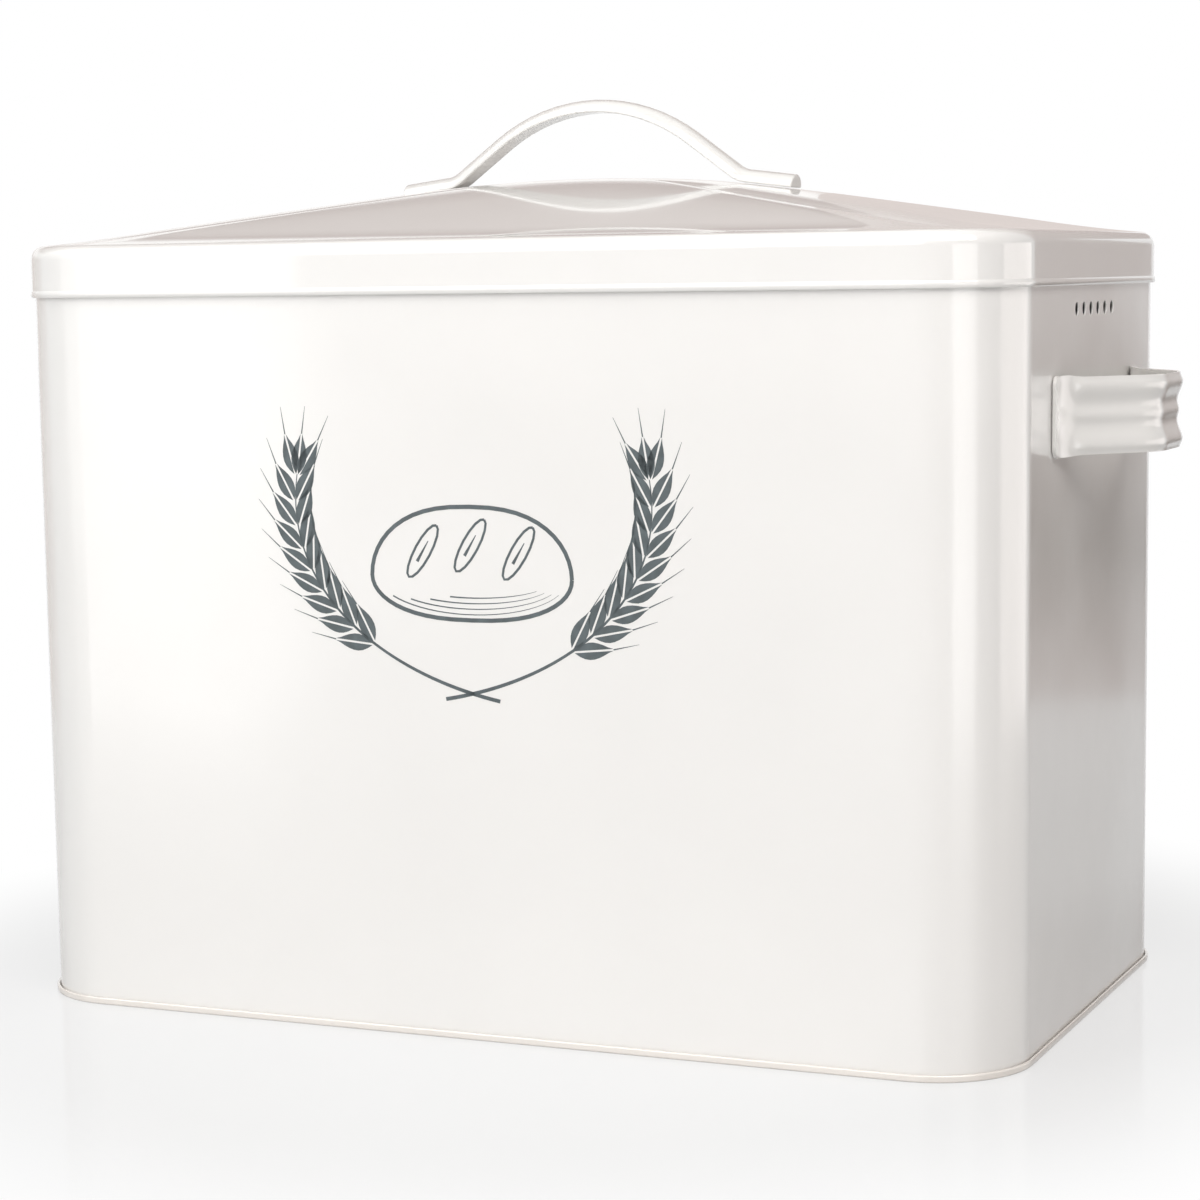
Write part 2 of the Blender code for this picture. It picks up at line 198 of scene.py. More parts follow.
# Colours, linear
WALL_ENAMEL = (0.885, 0.870, 0.850)
BASE_ENAMEL = (0.84, 0.79, 0.74)
LID_ENAMEL = (0.885, 0.870, 0.850)
HANDLE_ENAMEL = (0.885, 0.870, 0.845)
PRINT_INK = (0.085, 0.105, 0.112)

# Finishes
NOISE_LOW = 0.3             # nearly all of a noise's values lie between these two
NOISE_HIGH = 0.7
TONE_SPREAD = (0.985, 1.012)
# Painted shade: the handles' enamel is drawn darker overall, at 0.90 to 0.95 of its colour, with a random tone
# change within that range
HANDLE_SHADE_AND_TONE_SPREAD = (0.90, 0.95)
GLOSS_SPREAD = (0.8, 1.3)   # of the roughness
PEEL_DEPTH = 0.000006
INK_TONE_SPREAD = (0.85, 1.25)
INK_ROUGHNESS = 0.42
INK_ROUGHNESS_SPREAD = (0.34, 0.5)

# Stage
FLOOR_COLOUR = (0.60, 0.60, 0.60)
FLOOR_REACH = 6
FLOOR_IOR = 2.0
FLOOR_ROUGHNESS = 0.1
FLOOR_SQUEEZE = 1.1         # distances along X count this many times
FLOOR_NEAR = 0.20           # the floor turns white between these distances from the box's middle
FLOOR_FAR = 0.33
FLOOR_WHITE_SHARE = 0.6     # how white it is before that
FLOOR_MIRRORED_SHARE = 0.5  # how much of that white the reflections see
CARD_RADIUS = 0.75
CARD_TOP = 1.3
WHITE = (1, 0.98, 0.96)
PALE = (0.72, 0.65, 0.62)
MIDDLE = (0.52, 0.45, 0.43)
GREY = (0.43, 0.355, 0.335)
DARK = (0.10, 0.06, 0.04)
BRIGHT_LEFT = (2.4, 2.4, 2.4)
BRIGHT_CORNER = (2.6, 2.6, 2.6)
BRIGHT_SIDE = (2.3, 2.2, 2.15)
CARDS = (                   # name, both angles from the back in degrees, then colours at heights
    ("grey_left", -92, -13, ((0.30, PALE), (0.36, WHITE), (0.43, WHITE), (0.51, GREY), (CARD_TOP, GREY))),
    ("pale_middle", -13, 2, ((0.25, PALE), (CARD_TOP, MIDDLE))),
    ("grey_right", 2, 40, ((0.37, MIDDLE), (CARD_TOP, GREY))),
    ("dark_right", 23.5, 40, ((0, GREY), (0.08, DARK), (0.22, MIDDLE), (0.37, MIDDLE))),
    ("pale_side", -95, -66, ((0, PALE), (0.3, PALE))),
    ("bright_left", -151, -142, ((0, BRIGHT_LEFT), (0.5, BRIGHT_LEFT))),
    ("bright_corner", 116, 137, ((0, BRIGHT_CORNER), (0.3, BRIGHT_CORNER))),
    ("bright_side", 48, 90, ((0, BRIGHT_SIDE), (0.3, BRIGHT_SIDE))),
)
KEY_COLOUR = (1, 0.965, 0.94)
LEFT_COLOUR = (0.97, 1, 1)
PLAIN_COLOUR = (1, 1, 1)
LAMPS = (                   # name, azimuth and elevation in degrees, distance, width, height, watts, colour
    ("main_box", 48, 48, 1.6, 1.0, 1.0, 14.2, KEY_COLOUR),
    ("front_box", -10, 28, 1.6, 1.2, 1.2, 9.8, PLAIN_COLOUR),
    ("high_left_box", -50, 50, 1.6, 1.0, 1.0, 6.3, LEFT_COLOUR),
    ("top_box", 0, 85, 1.6, 1.2, 1.2, 1.5, PLAIN_COLOUR),
    ("left_box", -43, 14, 1.35, 0.6, 0.9, 1.2, LEFT_COLOUR),
)
ROOM_COLOUR = (1, 0.975, 0.96)
ROOM_STRENGTH = 0.06

# Camera
FOCAL_LENGTH_MM = 90.95
SENSOR_MM = 36
CAMERA_PLACE = (0.3926, -0.9093, 0.2304)
CAMERA_TURN = math.radians(23.42)
CAMERA_DOWN = math.radians(6.14)
CAMERA_ROLL = math.radians(-0.79)


def loft(name, rows, closed=True, cap_first=False, cap_last=False):
    """A skin through rows of points. Rows that close run anticlockwise, seen from above."""
    mesh = bpy.data.meshes.new(name)
    bm = bmesh.new()
    rows = [[bm.verts.new(point) for point in row] for row in rows]
    spans = len(rows[0]) if closed else len(rows[0]) - 1
    for low, high in zip(rows, rows[1:]):
        for here in range(spans):
            there = (here + 1) % len(low)
            bm.faces.new((low[here], low[there], high[there], high[here]))
    if cap_first:
        bm.faces.new(reversed(rows[0]))
    if cap_last:
        bm.faces.new(rows[-1])
    bm.to_mesh(mesh)
    bm.free()
    return add_object(name, mesh)


def add_object(name, mesh):
    piece = bpy.data.objects.new(name, mesh)
    bpy.context.scene.collection.objects.link(piece)
    return piece


def apply_modifiers(piece):
    bpy.context.view_layer.update()
    depsgraph = bpy.context.evaluated_depsgraph_get()
    mesh = bpy.data.meshes.new_from_object(piece.evaluated_get(depsgraph))
    piece.modifiers.clear()
    piece.data = mesh


def thicken(piece, sheet):
    solidify = piece.modifiers.new("sheet", "SOLIDIFY")
    solidify.thickness = sheet
    solidify.offset = -1
    solidify.use_even_offset = True


def combine(piece, tool, operation):
    """Joins or cuts with a tool, which is used up."""
    boolean = piece.modifiers.new("tool", "BOOLEAN")
    boolean.operation = operation
    boolean.solver = "EXACT"
    boolean.object = tool
    apply_modifiers(piece)
    bpy.data.objects.remove(tool)


def finish_edges(piece, width, sharp_from=40):
    """Rounds the sharp edges and keeps flat faces flat in the shading."""
    edges = piece.modifiers.new("edges", "BEVEL")
    edges.width = width
    edges.segments = 3
    edges.limit_method = "ANGLE"
    edges.angle_limit = math.radians(sharp_from)
    edges.use_clamp_overlap = True
    apply_modifiers(piece)
    piece.data.shade_smooth()
    normals = piece.modifiers.new("normals", "WEIGHTED_NORMAL")
    normals.weight = 100
    normals.keep_sharp = True


def ring(outset, height):
    """The box's outline at a height, stood off from the rim's size by an outset."""
    radius = CORNER_RADIUS + outset
    points = []
    for quarter in range(4):
        side_x = 1 if quarter in (0, 1) else -1
        side_y = 1 if quarter in (1, 2) else -1
        centre = Vector((side_x * (WIDTH / 2 - CORNER_RADIUS), side_y * (DEPTH / 2 - CORNER_RADIUS), height))
        for step in range(CORNER_STEPS + 1):
            angle = (quarter - 1 + step / CORNER_STEPS) * math.pi / 2
            points.append(centre + radius * Vector((math.cos(angle), math.sin(angle), 0)))
    return points


def arc(centre, radius, start, turn, steps):
    """Profile points (outset, height) round a centre, from the start angle in degrees through a turn."""
    across, up = centre
    angles = [math.radians(start) + turn * step / steps for step in range(steps + 1)]
    return [(across + radius * math.cos(angle), up + radius * math.sin(angle)) for angle in angles]


def rounded_path(corners, radii):
    """Straight runs between corners, with an arc at each inner corner."""
    path = [corners[0]]
    for before, corner, after, radius in zip(corners, corners[1:], corners[2:], radii):
        back = (before - corner).normalized()
        onward = (after - corner).normalized()
        half_angle = back.angle(onward) / 2
        setback = radius / math.tan(half_angle)
        centre = corner + (back + onward).normalized() * radius / math.sin(half_angle)
        start = (corner + back * setback - centre).normalized()
        end = (corner + onward * setback - centre).normalized()
        for step in range(PATH_BEND_STEPS + 1):
            path.append(centre + start.slerp(end, step / PATH_BEND_STEPS).normalized() * radius)
    path.append(corners[-1])
    return path


def wall_outset(height):
    """The wall leans in a little from its rim down to the floor."""
    return -DRAFT * (1 - height / RIM_HEIGHT)


def wall_tilt():
    return math.atan2(DRAFT, RIM_HEIGHT)


def build_wall():
    foot = SHEET + SEAT_GAP
    profile = [(wall_outset(foot), foot)]
    profile += arc((-CURL_RADIUS, RIM_HEIGHT - CURL_RADIUS), CURL_RADIUS, 0, CURL_TURN, CURL_STEPS)
    wall = loft("wall_sheet", [ring(outset, height) for outset, height in profile])
    thicken(wall, SHEET)
    combine(wall, lap_strip(), "UNION")
    combine(wall, vent_punches(), "DIFFERENCE")
    finish_edges(wall, EDGE_ROUND)
    return wall


def lap_strip():
    """The doubled sheet down the middle of the back."""
    bottom = SEAM_HEIGHT + SEAT_GAP
    top = LID_EDGE - LAP_END_GAP
    middle = (bottom + top) / 2
    thickness = LAP_STEP + SHEET / 2
    mesh = bpy.data.meshes.new("back_lap")
    bm = bmesh.new()
    bmesh.ops.create_cube(bm, size=1, matrix=Matrix.Diagonal((LAP_WIDTH, thickness, top - bottom, 1)))
    bm.to_mesh(mesh)
    bm.free()
    strip = add_object("back_lap", mesh)
    strip.location = (0, DEPTH / 2 + wall_outset(middle) + LAP_STEP - thickness / 2, middle)
    strip.rotation_euler = (-wall_tilt(), 0, 0)
    return strip


def vent_punches():
    """Round punches that pass through both sides."""
    mesh = bpy.data.meshes.new("vent_punches")
    bm = bmesh.new()
    across = Matrix.Rotation(math.pi / 2, 4, "Y")
    for number in range(VENT_COUNT):
        place = Vector((0, (number - (VENT_COUNT - 1) / 2) * VENT_PITCH, LID_EDGE - VENT_DROP))
        bmesh.ops.create_cone(
            bm, cap_ends=True, segments=VENT_SIDES, radius1=VENT_RADIUS, radius2=VENT_RADIUS,
            depth=WIDTH + 2 * CUT_OVERRUN, matrix=Matrix.Translation(place) @ across,
        )
    bm.to_mesh(mesh)
    bm.free()
    return add_object("vent_punches", mesh)


def build_base():
    """A panel held up off the floor, with a channel round it that hugs the foot of the wall."""
    inner = wall_outset(0) - 2 * SHEET - SEAT_GAP
    outer = wall_outset(0) + SEAT_GAP + SEAM_FOLD
    fold = SEAM_FOLD / 2
    bend = (inner - BASE_BEND, BASE_RISE - BASE_BEND)
    quarter = math.pi / 2
    profile = arc(bend, BASE_BEND, 90, -quarter, BEND_STEPS)
    profile += arc((inner + SEAM_ROUND, SEAM_ROUND), SEAM_ROUND, 180, quarter, BEND_STEPS)
    profile += arc((outer - SEAM_ROUND, SEAM_ROUND), SEAM_ROUND, 270, quarter, BEND_STEPS)
    profile += arc((outer - fold, SEAM_HEIGHT - fold), fold, 0, 2 * quarter, 2 * BEND_STEPS)
    profile += [(outer - SEAM_FOLD, SHEET), (inner + SHEET, SHEET)]
    profile += arc(bend, BASE_BEND + SHEET, 0, quarter, BEND_STEPS)
    rows = [ring(outset, height) for outset, height in profile]
    base = loft("base_sheet", rows, cap_first=True, cap_last=True)
    finish_edges(base, EDGE_ROUND)
    return base


def slope_left(share, crown, margin):
    """What is left of one slope's height at a share of the way out from the middle.

    The slope is round up to its crown share. In the margin, it eases towards a part of its steepness.
    """
    fall = share - crown / 2 if share > crown else share ** 2 / (2 * crown)
    width = 1 - MARGIN_START_SHARE
    fall -= (1 - margin) * max(share - MARGIN_START_SHARE, 0) ** 2 / (2 * width)
    return 1 - fall / (1 - crown / 2 - (1 - margin) * width / 2)


def dome_height(end_share, side_share):
    """Height of the lid's skin, by the shares of the way out to its ends and to its long sides."""
    ends = slope_left(end_share, END_CROWN_SHARE, END_MARGIN_SHARE)
    sides = slope_left(side_share, SIDE_CROWN_SHARE, SIDE_MARGIN_SHARE)
    if max(end_share, side_share) >= 1:
        return DOME_FOOT
    soft_lower = ((ends ** -HIP_POWER + sides ** -HIP_POWER) / 2) ** (-1 / HIP_POWER)
    return DOME_FOOT + DOME_RISE * soft_lower


def lid_ring(outset, height):
    """The outline with more points along its straight sides, where the dome bends too."""
    corners = ring(outset, height)
    count = CORNER_STEPS + 1
    points = []
    for quarter, steps in enumerate((END_STEPS, SIDE_STEPS, END_STEPS, SIDE_STEPS)):
        corner = corners[quarter * count:(quarter + 1) * count]
        following = corners[(quarter + 1) * count % len(corners)]
        points += corner
        points += [corner[-1].lerp(following, step / steps) for step in range(1, steps)]
    return points


def dome_row(foot, share):
    """The dome's foot drawn in to a share of its size, at the dome's height there."""
    row = []
    for point in foot:
        end = abs(point.x) / (WIDTH / 2 + DOME_OUTSET)
        side = abs(point.y) / (DEPTH / 2 + DOME_OUTSET)
        scale = share / max(end, side)
        row.append(Vector((point.x * share, point.y * share, dome_height(end * scale, side * scale))))
    return row


def build_lid():
    profile = []
    for step in range(HEM_STEPS + 1):
        along = step / HEM_STEPS
        profile.append((SKIRT_OUTSET + HEM_RISE * math.sin(math.pi * along), LID_EDGE + HEM_HEIGHT * along))
    shoulder = (SKIRT_OUTSET - SHOULDER_RADIUS, SHOULDER_CENTRE)
    profile += arc(shoulder, SHOULDER_RADIUS, 0, SHOULDER_TURN, SHOULDER_STEPS)
    rows = [lid_ring(outset, height) for outset, height in profile]
    rows += [dome_row(rows[-1], 1 - step / DOME_STEPS) for step in range(1, DOME_STEPS)]
    lid = loft("lid_sheet", rows, cap_last=True)
    thicken(lid, SHEET)
    finish_edges(lid, EDGE_ROUND)
    return lid


def arch_path():
    """The underside of the lid handle, from foot to foot, in the plane y = 0."""
    half_length = WIDTH / 2 + DOME_OUTSET
    foot_start = ARCH_SPAN / 2
    foot_end = foot_start + ARCH_FOOT
    start_height = dome_height(foot_start / half_length, 0)
    end_height = dome_height(foot_end / half_length, 0)
    bulge = dome_height((foot_start + foot_end) / 2 / half_length, 0) - (start_height + end_height) / 2
    root = Vector((foot_start, 0, start_height + bulge + SEAT_GAP))
    end = Vector((foot_end, 0, end_height + bulge + SEAT_GAP))
    peak = Vector((0, 0, root.z + root.x * math.tan(ARCH_LEG_ANGLE)))
    mirror = Vector((-1, 1, 1))
    corners = [end * mirror, root * mirror, peak, root, end]
    return rounded_path(corners, (ARCH_ROOT_RADIUS, ARCH_RADIUS, ARCH_ROOT_RADIUS))


def directions(path):
    """The direction of travel at each point of a path."""
    ahead = [there - here for here, there in zip(path, path[1:])]
    return [
        (before.normalized() + after.normalized()).normalized()
        for before, after in zip(ahead[:1] + ahead, ahead + ahead[-1:])
    ]


def build_lid_handle():
    """A half-round section along the arch, flat side down."""
    angles = [math.pi * step / ARCH_SECTION_STEPS for step in range(ARCH_SECTION_STEPS + 1)]
    path = arch_path()
    rows = []
    for point, direction in zip(path, directions(path)):
        upward = Vector((-direction.z, 0, direction.x))
        rows.append([
            point + upward * ARCH_THICKNESS * math.sin(angle) + Vector((0, ARCH_WIDTH / 2 * math.cos(angle), 0))
            for angle in reversed(angles)
        ])
    handle = loft("arched_handle", rows, cap_first=True, cap_last=True)
    finish_edges(handle, ARCH_EDGE)
    return handle


def rib_height(share):
    """How far the strap's skin is pressed out, from its middle (0) to its edge (1)."""
    knots = (
        (0, RIB_MIDDLE_RISE),
        (RIB_VALLEY_SHARE, 0),
        (RIB_CREST_SHARE, RIB_RISE),
        (1, RIB_RISE - RIB_EDGE_TURN),
    )
    for (start, low), (end, high) in zip(knots, knots[1:]):
        if share <= end:
            blend = (1 - math.cos(math.pi * (share - start) / (end - start))) / 2
            return low + (high - low) * blend
    return knots[-1][1]


def along_path(path, distance):
    """The point at a distance along a path, and the direction there."""
    for here, there in zip(path, path[1:]):
        run = (there - here).length
        if distance <= run or there is path[-1]:
            direction = (there - here).normalized()
            return here + direction * distance, direction
        distance -= run


def grip_rows():
    """Rows of points across the strap, in a frame on the wall: x away from it, y along it, z up it."""
    skin = SEAT_GAP + GRIP_SHEET
    face = GRIP_REACH + GRIP_SHEET
    root_y = GRIP_LENGTH / 2 - GRIP_TAB
    corners = [
        Vector((skin, -GRIP_LENGTH / 2, 0)), Vector((skin, -root_y, 0)), Vector((face, -GRIP_FACE / 2, 0)),
        Vector((face, GRIP_FACE / 2, 0)), Vector((skin, root_y, 0)), Vector((skin, GRIP_LENGTH / 2, 0)),
    ]
    path = rounded_path(corners, (GRIP_ROOT_RADIUS, GRIP_FACE_RADIUS, GRIP_FACE_RADIUS, GRIP_ROOT_RADIUS))
    length = sum((there - here).length for here, there in zip(path, path[1:]))

    ends = [
        GRIP_END_RADIUS * (1 - math.cos(math.pi / 2 * step / GRIP_END_STEPS))
        for step in range(GRIP_END_STEPS)
    ]
    between = length - 2 * GRIP_END_RADIUS
    stations = ends + [
        GRIP_END_RADIUS + between * step / GRIP_STATIONS
        for step in range(GRIP_STATIONS + 1)
    ]
    stations += [length - distance for distance in reversed(ends)]

    rows = []
    for distance in stations:
        centre, direction = along_path(path, distance)
        outward = Vector((direction.y, -direction.x, 0))
        from_end = min(distance, length - distance)
        ribbed = min(max((from_end - GRIP_TAB) / RIB_RUNOUT, 0), 1)
        ribbed = ribbed ** 2 * (3 - 2 * ribbed)
        half = GRIP_HEIGHT / 2 - GRIP_DRAW_IN * ribbed
        if from_end < GRIP_END_RADIUS:
            half += math.sqrt(GRIP_END_RADIUS ** 2 - (GRIP_END_RADIUS - from_end) ** 2) - GRIP_END_RADIUS
        row = []
        for step in range(GRIP_ROWS + 1):
            share = 2 * step / GRIP_ROWS - 1
            lift = rib_height(abs(share)) * ribbed - weld_dent(from_end, share * half)
            row.append(centre + outward * lift + Vector((0, 0, share * half)))
        rows.append(row)
    return rows


def weld_dent(from_end, height):
    """Depth of the spot weld's round dent in the middle of a tab."""
    away = math.hypot(from_end - WELD_INSET, height) / WELD_RADIUS
    if away >= 1:
        return 0
    return WELD_DEPTH * (1 + math.cos(math.pi * away)) / 2


def build_side_handle(name, turn):
    """One strap. The turn about Z puts it on the right (0) or the left (half a turn) wall."""
    height = LID_EDGE - GRIP_DROP
    handle = loft(name, [list(reversed(row)) for row in grip_rows()], closed=False)
    place = Matrix.Rotation(turn, 4, "Z") @ Matrix.Translation((WIDTH / 2 + wall_outset(height), 0, height))
    handle.data.transform(place @ Matrix.Rotation(wall_tilt(), 4, "Y"))
    thicken(handle, GRIP_SHEET)
    finish_edges(handle, EDGE_ROUND)
    return handle


def on_front(x, up):
    """A point of the print, from its middle, on the wall's front."""
    height = PRINT_HEIGHT + up
    return Vector((x, -DEPTH / 2 - wall_outset(height) - PRINT_LIFT, height))


def bezier(points, along):
    """A point of the cubic curve with these four control points."""
    back = 1 - along
    weights = (back ** 3, 3 * back ** 2 * along, 3 * back * along ** 2, along ** 3)
    return Vector((
        sum(weight * point[0] for weight, point in zip(weights, points)),
        sum(weight * point[1] for weight, point in zip(weights, points)),
    ))


def draw_outline(bm, points):
    bm.faces.new([bm.verts.new(on_front(point.x, point.y)) for point in points])


def draw_line(bm, points, width, taper=True):
    """A pen line, which thins towards its end."""
    last = len(points) - 1
    left, right = [], []
    for number, point in enumerate(points):
        direction = (points[min(number + 1, last)] - points[max(number - 1, 0)]).normalized()
        half = width / 2 * (1 - LINE_TAPER * number / last if taper else 1)
        side = Vector((-direction.y, direction.x)) * half
        left.append(point + side)
        right.append(point - side)
    for number in range(last):
        draw_outline(bm, (right[number], right[number + 1], left[number + 1], left[number]))


def draw_grain(bm, base, direction):
    """A pointed grain in two halves, with a pale slit between them."""
    side = Vector((-direction.y, direction.x))
    for sign in (-1, 1):
        edge = []
        for step in range(GRAIN_STEPS + 1):
            along = step / GRAIN_STEPS
            half = GRAIN_WIDTH / 2 * math.sin(math.pi * along ** GRAIN_FULLNESS)
            edge.append(base + direction * GRAIN_LENGTH * along + side * sign * max(half, GRAIN_SLIT / 2))
        slit = [
            base + direction * GRAIN_LENGTH * (step / GRAIN_STEPS) + side * sign * GRAIN_SLIT / 2
            for step in range(1, GRAIN_STEPS)
        ]
        outline = edge + list(reversed(slit))
        draw_outline(bm, outline if sign < 0 else list(reversed(outline)))


def draw_ear(bm, mirror):
    """One curved stalk with paired grains and their awns."""
    control = [(point[0] * mirror, point[1]) for point in (STALK_START, STALK_BEND, STALK_SIDE, STALK_TIP)]
    stalk = [bezier(control, step / STALK_STEPS) for step in range(STALK_STEPS + 1)]
    draw_line(bm, stalk, STALK_WIDTH)
    for pair in range(GRAIN_PAIRS):
        along = EAR_START + (1 - EAR_START) * pair / (GRAIN_PAIRS - 1)
        base = bezier(control, along)
        above = bezier(control, min(along + STALK_PROBE, 1))
        below = bezier(control, along - STALK_PROBE)
        direction = (above - below).normalized()
        turns = (-GRAIN_TURN, GRAIN_TURN) if pair < GRAIN_PAIRS - 1 else (-TIP_TURN, 0, TIP_TURN)
        for turn in turns:
            lean = Matrix.Rotation(turn, 2) @ direction
            side = Vector((-direction.y, direction.x)) * math.copysign(STALK_WIDTH / 2, turn) * (turn != 0)
            draw_grain(bm, base + side, lean)
            tip = base + side + lean * GRAIN_LENGTH
            awn = lean + Matrix.Rotation(-turn / 2, 2) @ lean
            draw_line(bm, [tip, tip + awn * AWN_LENGTH / 4, tip + awn * AWN_LENGTH / 2], AWN_WIDTH)


def draw_loaf(bm):
    """A round-topped loaf with scored cuts and a hatched underside."""
    middle = Vector((0, LOAF_RISE))
    outline = []
    for step in range(LOAF_STEPS + 1):
        angle = 2 * math.pi * step / LOAF_STEPS
        height = LOAF_HEIGHT * (LOAF_TOP_SHARE if math.sin(angle) > 0 else LOAF_BOTTOM_SHARE)
        across = math.copysign(abs(math.cos(angle)) ** LOAF_ROUNDNESS, math.cos(angle))
        outline.append(middle + Vector((LOAF_WIDTH / 2 * across, height * math.sin(angle))))
    draw_line(bm, outline, LOAF_LINE, taper=False)
    for cut in (-1, 0, 1):
        rise = CUT_RISE_SHARE - CUT_FALL_SHARE * abs(cut)
        centre = middle + Vector((cut * LOAF_WIDTH * CUT_PITCH_SHARE, LOAF_HEIGHT * rise))
        lean = Matrix.Rotation(CUT_LEAN, 2) @ Vector((0, 1))
        side = Vector((-lean.y, lean.x))
        half = LOAF_HEIGHT * CUT_LENGTH_SHARE
        points = []
        for step in range(CUT_STEPS + 1):
            angle = 2 * math.pi * step / CUT_STEPS
            across = side * half * CUT_WIDTH_SHARE * math.sin(angle)
            points.append(centre + lean * half * math.cos(angle) + across)
        draw_line(bm, points, LOAF_LINE * CUT_LINE_SHARE, taper=False)
        spine = [
            centre + lean * half * SPINE_SHARE * (2 * step / SPINE_STEPS - 1)
            for step in range(SPINE_STEPS + 1)
        ]
        draw_line(bm, spine, LOAF_LINE * SPINE_LINE_SHARE)
    for row in range(1, HATCH_ROWS + 1):
        arc_points = []
        for step in range(HATCH_STEPS + 1):
            angle = math.radians(HATCH_START + HATCH_TURN * step / HATCH_STEPS + HATCH_ROW_TURN * row)
            arc_points.append(middle + Vector((
                LOAF_WIDTH / 2 * (1 - HATCH_DRAW_IN * row) * math.cos(angle),
                LOAF_HEIGHT * LOAF_BOTTOM_SHARE * (1 - HATCH_RISE_SHARE * row) * math.sin(angle),
            )))
        draw_line(bm, arc_points[row * 2:-row], HATCH_LINE)


def build_print():
    bm = bmesh.new()
    draw_ear(bm, 1)
    draw_ear(bm, -1)
    draw_loaf(bm)
    bmesh.ops.recalc_face_normals(bm, faces=bm.faces)
    for face in bm.faces:
        face.normal_update()
        if face.normal.y > 0:
            face.normal_flip()
    mesh = bpy.data.meshes.new("front_print")
    bm.to_mesh(mesh)
    bm.free()
    return add_object("front_print", mesh)


def new_material(name, colour, roughness):
    material = bpy.data.materials.new(name)
    material.use_nodes = True
    shader = material.node_tree.nodes["Principled BSDF"]
    shader.inputs["Base Color"].default_value = (*colour, 1)
    shader.inputs["Roughness"].default_value = roughness
    return material


def noise(material, scale, detail):
    nodes = material.node_tree.nodes
    links = material.node_tree.links
    place = nodes.new("ShaderNodeTexCoord")
    texture = nodes.new("ShaderNodeTexNoise")
    texture.inputs["Scale"].default_value = scale
    texture.inputs["Detail"].default_value = detail
    links.new(place.outputs["Object"], texture.inputs["Vector"])
    return texture.outputs["Fac"]


def spread(material, value, low, high):
    """Maps a noise value on to the range from low to high."""
    nodes = material.node_tree.nodes
    links = material.node_tree.links
    mapping = nodes.new("ShaderNodeMapRange")
    mapping.inputs["From Min"].default_value = NOISE_LOW
    mapping.inputs["From Max"].default_value = NOISE_HIGH
    mapping.inputs["To Min"].default_value = low
    mapping.inputs["To Max"].default_value = high
    links.new(value, mapping.inputs["Value"])
    return mapping.outputs["Result"]


def enamel(name, colour, waves, roughness, coat_roughness, tones=TONE_SPREAD):
    """Glossy enamel: slow waves of the sheet, fine orange peel, and slight changes of tone and gloss. Where
    both tones lie below 1, as on the handles, they also paint shade over the whole piece.
    """
    material = new_material(name, colour, roughness)
    nodes = material.node_tree.nodes
    links = material.node_tree.links
    shader = nodes["Principled BSDF"]
    shader.inputs["Coat Weight"].default_value = 1
    shader.inputs["Coat Roughness"].default_value = coat_roughness

    tone = nodes.new("ShaderNodeMix")
    tone.data_type = "RGBA"
    tone.inputs["A"].default_value = (*[channel * tones[0] for channel in colour], 1)
    tone.inputs["B"].default_value = (*[channel * tones[1] for channel in colour], 1)
    links.new(spread(material, noise(material, 14, 3), 0, 1), tone.inputs["Factor"])
    links.new(tone.outputs["Result"], shader.inputs["Base Color"])
    gloss = spread(material, noise(material, 35, 4), *[share * roughness for share in GLOSS_SPREAD])
    links.new(gloss, shader.inputs["Roughness"])

    slow = nodes.new("ShaderNodeBump")
    slow.inputs["Distance"].default_value = waves
    links.new(noise(material, 11, 1), slow.inputs["Height"])
    peel = nodes.new("ShaderNodeBump")
    peel.inputs["Distance"].default_value = PEEL_DEPTH
    links.new(noise(material, 520, 2), peel.inputs["Height"])
    links.new(slow.outputs["Normal"], peel.inputs["Normal"])
    links.new(peel.outputs["Normal"], shader.inputs["Normal"])
    links.new(slow.outputs["Normal"], shader.inputs["Coat Normal"])
    return material


def ink(name, colour):
    """Printed slate colour with slightly uneven cover."""
    material = new_material(name, colour, INK_ROUGHNESS)
    nodes = material.node_tree.nodes
    links = material.node_tree.links
    shader = nodes["Principled BSDF"]
    tone = nodes.new("ShaderNodeMix")
    tone.data_type = "RGBA"
    tone.inputs["A"].default_value = (*[channel * INK_TONE_SPREAD[0] for channel in colour], 1)
    tone.inputs["B"].default_value = (*[channel * INK_TONE_SPREAD[1] for channel in colour], 1)
    links.new(spread(material, noise(material, 260, 3), 0, 1), tone.inputs["Factor"])
    links.new(tone.outputs["Result"], shader.inputs["Base Color"])
    links.new(spread(material, noise(material, 90, 3), *INK_ROUGHNESS_SPREAD), shader.inputs["Roughness"])
    return material


def dress(piece, material, body, node):
    piece.data.materials.clear()
    piece.data.materials.append(material)
    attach(piece, body)
    if node:
        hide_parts(node)


def link_mix(material_or_world, factor, first, second, target):
    """Mixes two shaders and sends the result to the output."""
    nodes = material_or_world.node_tree.nodes
    links = material_or_world.node_tree.links
    mix = nodes.new("ShaderNodeMixShader")
    links.new(factor, mix.inputs["Fac"])
    links.new(first, mix.inputs[1])
    links.new(second, mix.inputs[2])
    links.new(mix.outputs["Shader"], target)


def maximum(tree, *values):
    """The largest of several values."""
    result = values[0]
    for value in values[1:]:
        node = tree.nodes.new("ShaderNodeMath")
        node.operation = "MAXIMUM"
        tree.links.new(result, node.inputs[0])
        tree.links.new(value, node.inputs[1])
        result = node.outputs["Value"]
    return result


